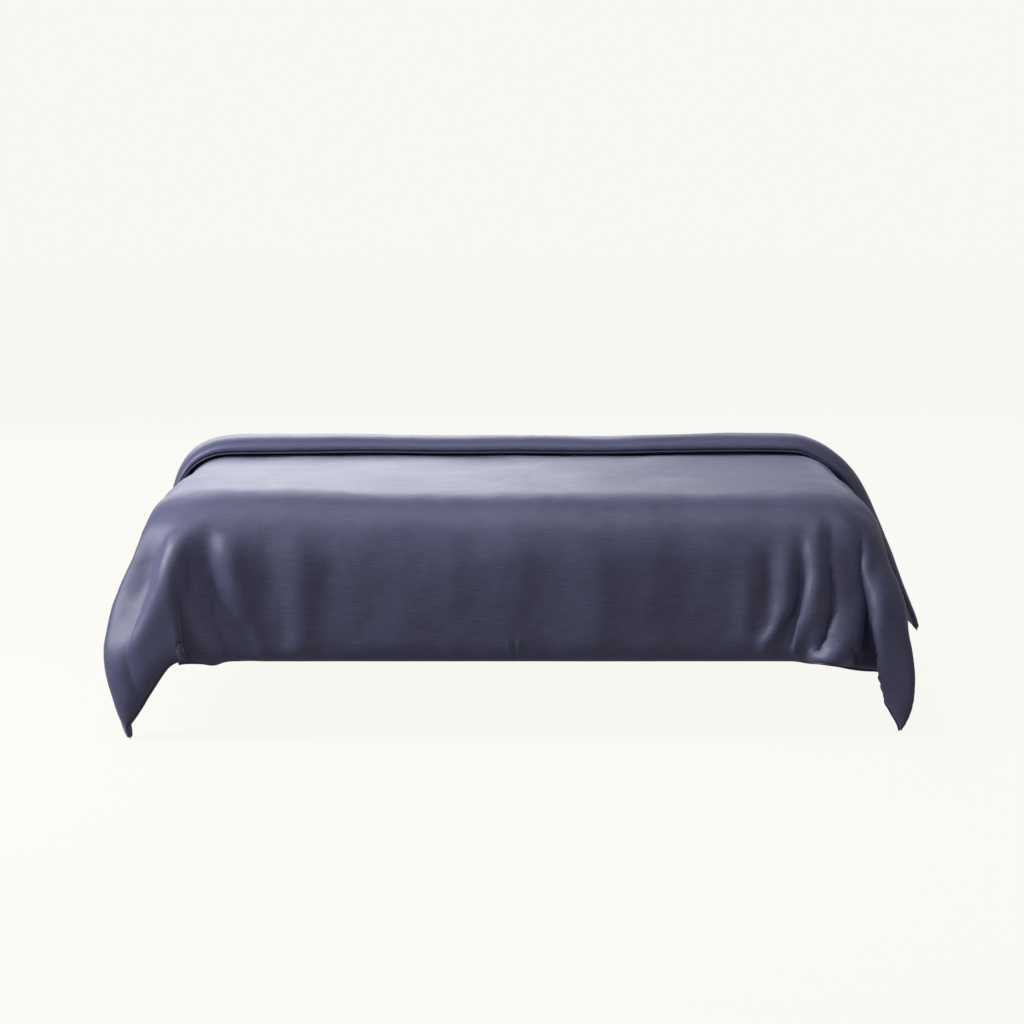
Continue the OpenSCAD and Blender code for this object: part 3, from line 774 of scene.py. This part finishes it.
thick = duvet["clothThick"]
coverFace = addPiece("coverFace", *sheetFrom(faceSide, everywhere), sateen, "cover_cloth",
                     ["cover_face_panel"], thick=-thick)
coverBack = addPiece("coverBack", *sheetFrom(backSide, backCells, False), sateen, "cover_cloth",
                     ["cover_back_panel"], thick=-thick)
zipFacing = addPiece("zipFacing", *sheetFrom(backSide, facingCells, False), sateen, "cover_cloth",
                     ["zip_facing"], thick=-thick)


def hemRidge(edge, inside, normal):
    # a French seam: a flat rolled ridge that stands out from the hem
    outward = unit(edge - inside)
    run = np.concatenate([[0], np.cumsum(np.linalg.norm(np.diff(edge, axis=0), axis=1))])
    sides = 10
    sunk = 0.0003       # how far the ridge reaches into the hem
    halfWide = duvet["seamWidth"] / 2
    halfHigh = duvet["seamThick"] / 2
    angles = [2 * math.pi * k / sides for k in range(sides)]
    points = []
    flat = []
    for p, o, n, r in zip(edge, outward, normal, run):
        for a in angles:
            centre = p + o * (halfWide - sunk)
            points.append(centre + o * halfWide * math.cos(a) + n * halfHigh * math.sin(a))
            flat.append((r, a * halfWide))
    faces = []
    for k in range(len(edge) - 1):
        for i in range(sides):
            j = (i + 1) % sides
            faces.append((k * sides + i, k * sides + j, (k + 1) * sides + j, (k + 1) * sides + i))
    faces.append(tuple(range(sides))[::-1])
    faces.append(tuple(range((len(edge) - 1) * sides, len(edge) * sides)))
    return np.array(points), faces, np.array(flat)


seams = [
    addPiece("sideSeamLeft", *hemRidge(middleSurface[:, 0], middleSurface[:, 3], normals[:, 1]),
             seamCloth, "cover_seam", ["side_seam_left"]),
    addPiece("sideSeamRight", *hemRidge(middleSurface[:, -1], middleSurface[:, -4], normals[:, -2]),
             seamCloth, "cover_seam", ["side_seam_right"]),
    addPiece("headSeam", *hemRidge(middleSurface[-1], middleSurface[-4], normals[-2]),
             seamCloth, "cover_seam", ["head_seam"]),
    addPiece("footSeam", *hemRidge(middleSurface[0], middleSurface[3], normals[1]),
             seamCloth, "cover_seam", ["foot_seam"]),
]
print("cover sewn")

# insert

insert = {
    "sideInset": 0.031, "headInset": 0.031, "footInset": 0.037,
    "room": 0.0035, "edgeRound": 0.03, "shell": 0.0004, "binding": 0.003,
    "columns": 4, "rows": 4, "step": 0.011, "wall": 0.0003, "stitchPull": 0.0016,
    "bindingHalf": 0.0014, "fillStep": 0.012,
}
insertSide = w - insert["sideInset"]
insertFoot = insert["footInset"]
insertHead = clothLength - insert["headInset"]
chamberU = [-insertSide] + list(np.linspace(-chamberEdge, chamberEdge, insert["columns"] + 1))
chamberU += [insertSide]
chamberS = [insertFoot] + list(np.linspace(footToFlat, lowerLength, insert["rows"] + 1))
chamberS += [insertHead]


def insertHalf(u, s):
    edge = np.minimum(np.minimum(insertSide - abs(u), s - insertFoot), insertHead - s)
    full = halfLoft + duvet["headLoft"] * headPuff(u, s) - insert["room"]
    half = roundedHalf(np.maximum(edge, 0), insert["edgeRound"], full, 0.0012)
    near = np.min([abs(u - x) for x in chamberU[1:-1]] + [abs(s - y) for y in chamberS[1:-1]], axis=0)
    sewn = insert["stitchPull"] * np.exp(-(near / 0.012) ** 2)
    return np.minimum(np.maximum(half - sewn, 0.0011), coverHalf(u, s) - 0.0009)


def evenly(start, end, spacing):
    return np.linspace(start, end, max(2, int(math.ceil((end - start) / spacing)) + 1))


def between(stops, spacing):
    parts = [evenly(a, b, spacing)[:-1] for a, b in zip(stops, stops[1:])]
    return np.concatenate(parts + [[stops[-1]]])


shellU = between(chamberU, insert["step"])
shellS = between([insertFoot] + chamberS[1:-1] + [lowerLength + foldArc, insertHead], insert["step"])


def shellSheet(side):
    u, s = np.meshgrid(shellU, shellS)
    points = surfacePoints(u, s, side * insertHalf(u, s)).reshape(-1, 3)
    rowCount, columnCount = u.shape
    faces = []
    for j in range(rowCount - 1):
        for i in range(columnCount - 1):
            a = j * columnCount + i
            cell = (a, a + 1, a + columnCount + 1, a + columnCount)
            faces.append(cell if side > 0 else cell[::-1])
    return points, faces, np.stack([u.ravel(), s.ravel()], -1)


shell = insert["shell"]
insertFace = addPiece("insertFaceShell", *shellSheet(1), insertCloth, "insert_cloth",
                      ["insert_face_shell"], thick=-shell)
insertBack = addPiece("insertBackShell", *shellSheet(-1), insertCloth, "insert_cloth",
                      ["insert_back_shell"], thick=-shell)


def fillHigh(u, s):
    return insertHalf(u, s) - shell - 0.0002


def fillLow(u, s):
    return -fillHigh(u, s)


def chamber(i, j):
    wall = insert["wall"] + 0.0003
    edge = insert["binding"]
    u0 = chamberU[i] + (edge if i == 0 else wall)
    u1 = chamberU[i + 1] - (edge if i == len(chamberU) - 2 else wall)
    s0 = chamberS[j] + (edge if j == 0 else wall)
    s1 = chamberS[j + 1] - (edge if j == len(chamberS) - 2 else wall)
    return slab(evenly(u0, u1, insert["fillStep"]), evenly(s0, s1, insert["fillStep"]), fillLow, fillHigh)


flatColumns = range(1, insert["columns"] + 1)
flatRows = range(1, insert["rows"] + 1)
leftColumn = 0
rightColumn = insert["columns"] + 1
turnedRow = insert["rows"] + 1
fillPieces = {
    "fillFootDrop": ("fill_foot_drop", [(i, 0) for i in flatColumns]),
    "fillCornerLeft": ("fill_corner_left", [(leftColumn, 0)]),
    "fillCornerRight": ("fill_corner_right", [(rightColumn, 0)]),
    "fillSideLeft": ("fill_side_left", [(leftColumn, j) for j in flatRows]),
    "fillSideRight": ("fill_side_right", [(rightColumn, j) for j in flatRows]),
    "fillFold": ("fill_fold", [(i, turnedRow) for i in flatColumns]),
    "fillFoldLeft": ("fill_fold_left", [(leftColumn, turnedRow)]),
    "fillFoldRight": ("fill_fold_right", [(rightColumn, turnedRow)]),
}
for j in flatRows:
    fillPieces[f"fillRow{j}"] = (f"fill_row_{j}", [(i, j) for i in flatColumns])
for name, (node, cells) in fillPieces.items():
    made = addPiece(name, *joined([chamber(i, j) for i, j in cells]), fillWool, "insert_fill", [node])

wall = insert["wall"]
wallClear = 0.004       # the walls stop short of the binding and of each other
crossStep = 0.02
longWalls = [slab(np.array([x - wall, x + wall]),
                  evenly(insertFoot + wallClear, insertHead - wallClear, insert["fillStep"]),
                  fillLow, fillHigh) for x in chamberU[1:-1]]
crossWalls = []
for y in chamberS[1:-1]:
    for a, b in zip(chamberU, chamberU[1:]):
        crossWalls.append(slab(evenly(a + wallClear, b - wallClear, crossStep),
                               np.array([y - wall, y + wall]), fillLow, fillHigh))
addPiece("bafflesLong", *joined(longWalls), insertCloth, "insert_cloth", ["baffles_long"])
addPiece("bafflesCross", *joined(crossWalls), insertCloth, "insert_cloth", ["baffles_cross"])

edge = insert["binding"]
alongSide = evenly(insertFoot, insertHead, insert["fillStep"])
alongEnd = evenly(-insertSide + edge, insertSide - edge, crossStep)
bindingRuns = [
    (np.array([-insertSide, -insertSide + edge]), alongSide),
    (np.array([insertSide - edge, insertSide]), alongSide),
    (alongEnd, np.array([insertFoot, insertFoot + edge])),
    (alongEnd, np.array([insertHead - edge, insertHead])),
]
bindingBars = [slab(us, ss, -insert["bindingHalf"], insert["bindingHalf"]) for us, ss in bindingRuns]
addPiece("insertEdgeBinding", *joined(bindingBars), insertCloth, "insert_cloth", ["insert_edge_binding"])
print("insert filled")

# ties, loops and care label

tie = {
    "tape": 0.002, "thick": 0.0008, "wide": 0.014, "cornerWide": 0.008, "loopHigh": 0.0022,
    "loopThick": 0.0012, "reach": 0.68, "headOut": 0.555, "sideUp": 0.76, "cornerUp": 0.02,
}
# each place is (across, along, which way is inwards)
tiePlaces = [
    (0.0, 0.0, 0, 1),
    (0.0, clothLength, 0, -1), (tie["headOut"], clothLength, 0, -1), (-tie["headOut"], clothLength, 0, -1),
    (-w, tie["sideUp"], 1, 0), (w, tie["sideUp"], -1, 0),
    (-w, tie["cornerUp"], 1, 0), (w, tie["cornerUp"], -1, 0),
]


def bar(place, a0, a1, b0, b1, h0, h1):
    # a runs along the hem, b inwards from it
    u0, s0, inU, inS = place
    if inU:
        us = sorted((u0 + inU * b0, u0 + inU * b1))
        ss = (s0 + a0, s0 + a1)
    else:
        us = (u0 + a0, u0 + a1)
        ss = sorted((s0 + inS * b0, s0 + inS * b1))
    return slab(np.array(us), np.array(ss), h0, h1)


tieBars = []
loopBars = []
for place in tiePlaces:
    room = insert["footInset"] if place[1] == 0.0 else insert["sideInset"]
    half = (tie["cornerWide"] if place[1] == tie["cornerUp"] else tie["wide"]) / 2
    tape = tie["tape"]
    far = room * tie["reach"]
    t = tie["thick"] / 2
    tieBars.append(bar(place, -half, -half + tape, 0.0, far, -t, t))
    tieBars.append(bar(place, half - tape, half, 0.0, far, -t, t))
    tieBars.append(bar(place, -half + tape, half - tape, far - tape, far, -t, t))
    near = room * (1 - tie["reach"])
    high = tie["loopHigh"]
    loopBars.append(bar(place, -tape / 2, tape / 2, near, room, t, high))
    loopBars.append(bar(place, -tape / 2, tape / 2, near, room, -high, -t))
    loopBars.append(bar(place, -tape / 2, tape / 2, near, near + tie["loopThick"], -t, t))
addPiece("coverTies", *joined(tieBars), seamCloth, "cover_seam", ["cover_ties"], smooth=False)
addPiece("insertLoops", *joined(loopBars), insertCloth, "insert_cloth", ["insert_loops"], smooth=False)

label = {"wide": 0.038, "long": 0.06, "thick": 0.0004, "away": 0.0008}
labelLow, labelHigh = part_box("care_label")
labelS = (labelLow.y + labelHigh.y) / 2 - foldY + lowerLength


def labelUnder(u, s):
    return -coverHalf(u, s) - label["away"] - label["thick"]


def labelOver(u, s):
    return -coverHalf(u, s) - label["away"]


careLabel = addPiece("careLabel",
                     *slab(evenly(-w + 0.001, -w + label["long"], 0.006),
                           evenly(labelS - label["wide"] / 2, labelS + label["wide"] / 2, 0.008),
                           labelUnder, labelOver),
                     labelCloth, "label_cloth", ["care_label"])

# zip

zipCoil = {"pitch": 0.002, "wire": 0.0003, "pointsPerTurn": 8, "sides": 4}


def coilAlong(low, high):
    # a flattened coil that fills the box of its CAD bar
    wire = zipCoil["wire"]
    centre = (low + high) / 2
    halfDeep = (high.y - low.y) / 2 - wire
    halfHigh = (high.z - low.z) / 2 - wire
    turns = int((high.x - low.x - 2 * wire) / zipCoil["pitch"])
    count = turns * zipCoil["pointsPerTurn"]
    k = np.arange(count)
    a = 2 * math.pi * k / zipCoil["pointsPerTurn"]
    x = low.x + wire + zipCoil["pitch"] * k / zipCoil["pointsPerTurn"]
    core = np.stack([x, centre.y + halfDeep * np.sin(a), centre.z + halfHigh * np.cos(a)], -1)
    out = np.stack([np.zeros(count), np.sin(a), np.cos(a)], -1)
    points = []
    for i in range(zipCoil["sides"]):
        b = 2 * math.pi * i / zipCoil["sides"]
        points.append(core + wire * (math.cos(b) * out + math.sin(b) * np.array([1.0, 0, 0])))
    points = np.stack(points, 1).reshape(-1, 3)
    n = zipCoil["sides"]
    faces = []
    for k in range(count - 1):
        for i in range(n):
            j = (i + 1) % n
            faces.append((k * n + i, (k + 1) * n + i, (k + 1) * n + j, k * n + j))
    faces.append(tuple(range(n)))
    faces.append(tuple(range((count - 1) * n, count * n))[::-1])
    return points, faces, points[:, [0, 2]]


for pieceName, node in (("zipCoilUpper", "zip_chain_upper"), ("zipCoilLower", "zip_chain_lower")):
    addPiece(pieceName, *coilAlong(*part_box(node)), coilPlastic, "zip_coil", [node])
carried = {
    "zip_tape_upper": zipTapeCloth, "zip_tape_lower": zipTapeCloth, "zip_end_stops": brushedMetal,
    "zip_slider": brushedMetal, "puller_pin": brushedMetal, "zip_puller": brushedMetal,
}
for node, material in carried.items():
    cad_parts[node].data.materials.clear()
    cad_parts[node].data.materials.append(material)
print("zip fitted")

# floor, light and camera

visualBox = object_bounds()
studio = {
    "pale": (0.940, 0.930, 0.888), "sky": 0.29, "floorGlow": 0.988, "floorPaint": 0.03,
    "reach": 40, "aim": (0, -0.4, -0.1),
}


def glowing(name, strength, paint):
    material, tree, shader = newMaterial(name)
    shader.inputs["Base Color"].default_value = (paint, paint, paint * 0.96, 1)
    shader.inputs["Roughness"].default_value = 0.9
    shader.inputs["Specular IOR Level"].default_value = 0.0
    shader.inputs["Emission Color"].default_value = (*studio["pale"], 1)
    shader.inputs["Emission Strength"].default_value = strength
    return material


def onlySeen(piece, material):
    # a backdrop that the camera sees and that lights nothing
    piece.data.materials.append(material)
    piece.visible_diffuse = False
    piece.visible_glossy = False
    piece.visible_shadow = False


bpy.ops.mesh.primitive_plane_add(size=2 * studio["reach"], location=(0, 0, visualBox[0].z - 0.001))
floor = bpy.context.object
floor.name = "studioFloor"
onlySeen(floor, glowing("paleFloor", studio["floorGlow"], studio["floorPaint"]))
bpy.ops.mesh.primitive_uv_sphere_add(segments=64, ring_count=32, radius=studio["reach"] * 0.95)
backdrop = bpy.context.object
backdrop.name = "studioBackdrop"
onlySeen(backdrop, glowing("paleBackdrop", 1.0, 0.0))

world = bpy.data.worlds.new("studio")
world.use_nodes = True
world.node_tree.nodes["Background"].inputs["Color"].default_value = (*studio["pale"], 1)
world.node_tree.nodes["Background"].inputs["Strength"].default_value = studio["sky"]
scene.world = world
scene.view_settings.view_transform = "Standard"

lights = [
    {"name": "windowLight", "place": (-3.8, -1.6, 2.2),
     "size": 1.3, "power": 245, "tint": (0.93, 0.95, 1.0)},
    {"name": "backGlow", "place": (-1.7, 6.5, 3.2),
     "size": 4.5, "power": 215, "tint": (0.95, 0.96, 1.0)},
    {"name": "overhead", "place": (-0.8, -1.6, 4.2),
     "size": 2.5, "power": 75, "tint": (0.97, 0.98, 1.0)},
    {"name": "frontFill", "place": (-2.6, -5.5, 2.0),
     "size": 2.5, "power": 40, "tint": (1.0, 1.0, 1.0)},
]
for each in lights:
    lamp = bpy.data.lights.new(each["name"], "AREA")
    lamp.size = each["size"]
    lamp.energy = each["power"]
    lamp.color = each["tint"]
    holder = bpy.data.objects.new(each["name"], lamp)
    holder.location = each["place"]
    toDuvet = Vector(studio["aim"]) - Vector(each["place"])
    holder.rotation_euler = toDuvet.to_track_quat("-Z", "Y").to_euler()
    scene.collection.objects.link(holder)

view = {"place": (0.0, -8.115, 0.70), "tilt": 84.16, "lens": 115.8}
camera = bpy.data.objects.new("camera", bpy.data.cameras.new("camera"))
camera.location = view["place"]
camera.rotation_euler = (math.radians(view["tilt"]), 0, 0)
camera.data.lens = view["lens"]
camera.data.sensor_width = 36
camera.data.dof.use_dof = False
scene.collection.objects.link(camera)
scene.camera = camera
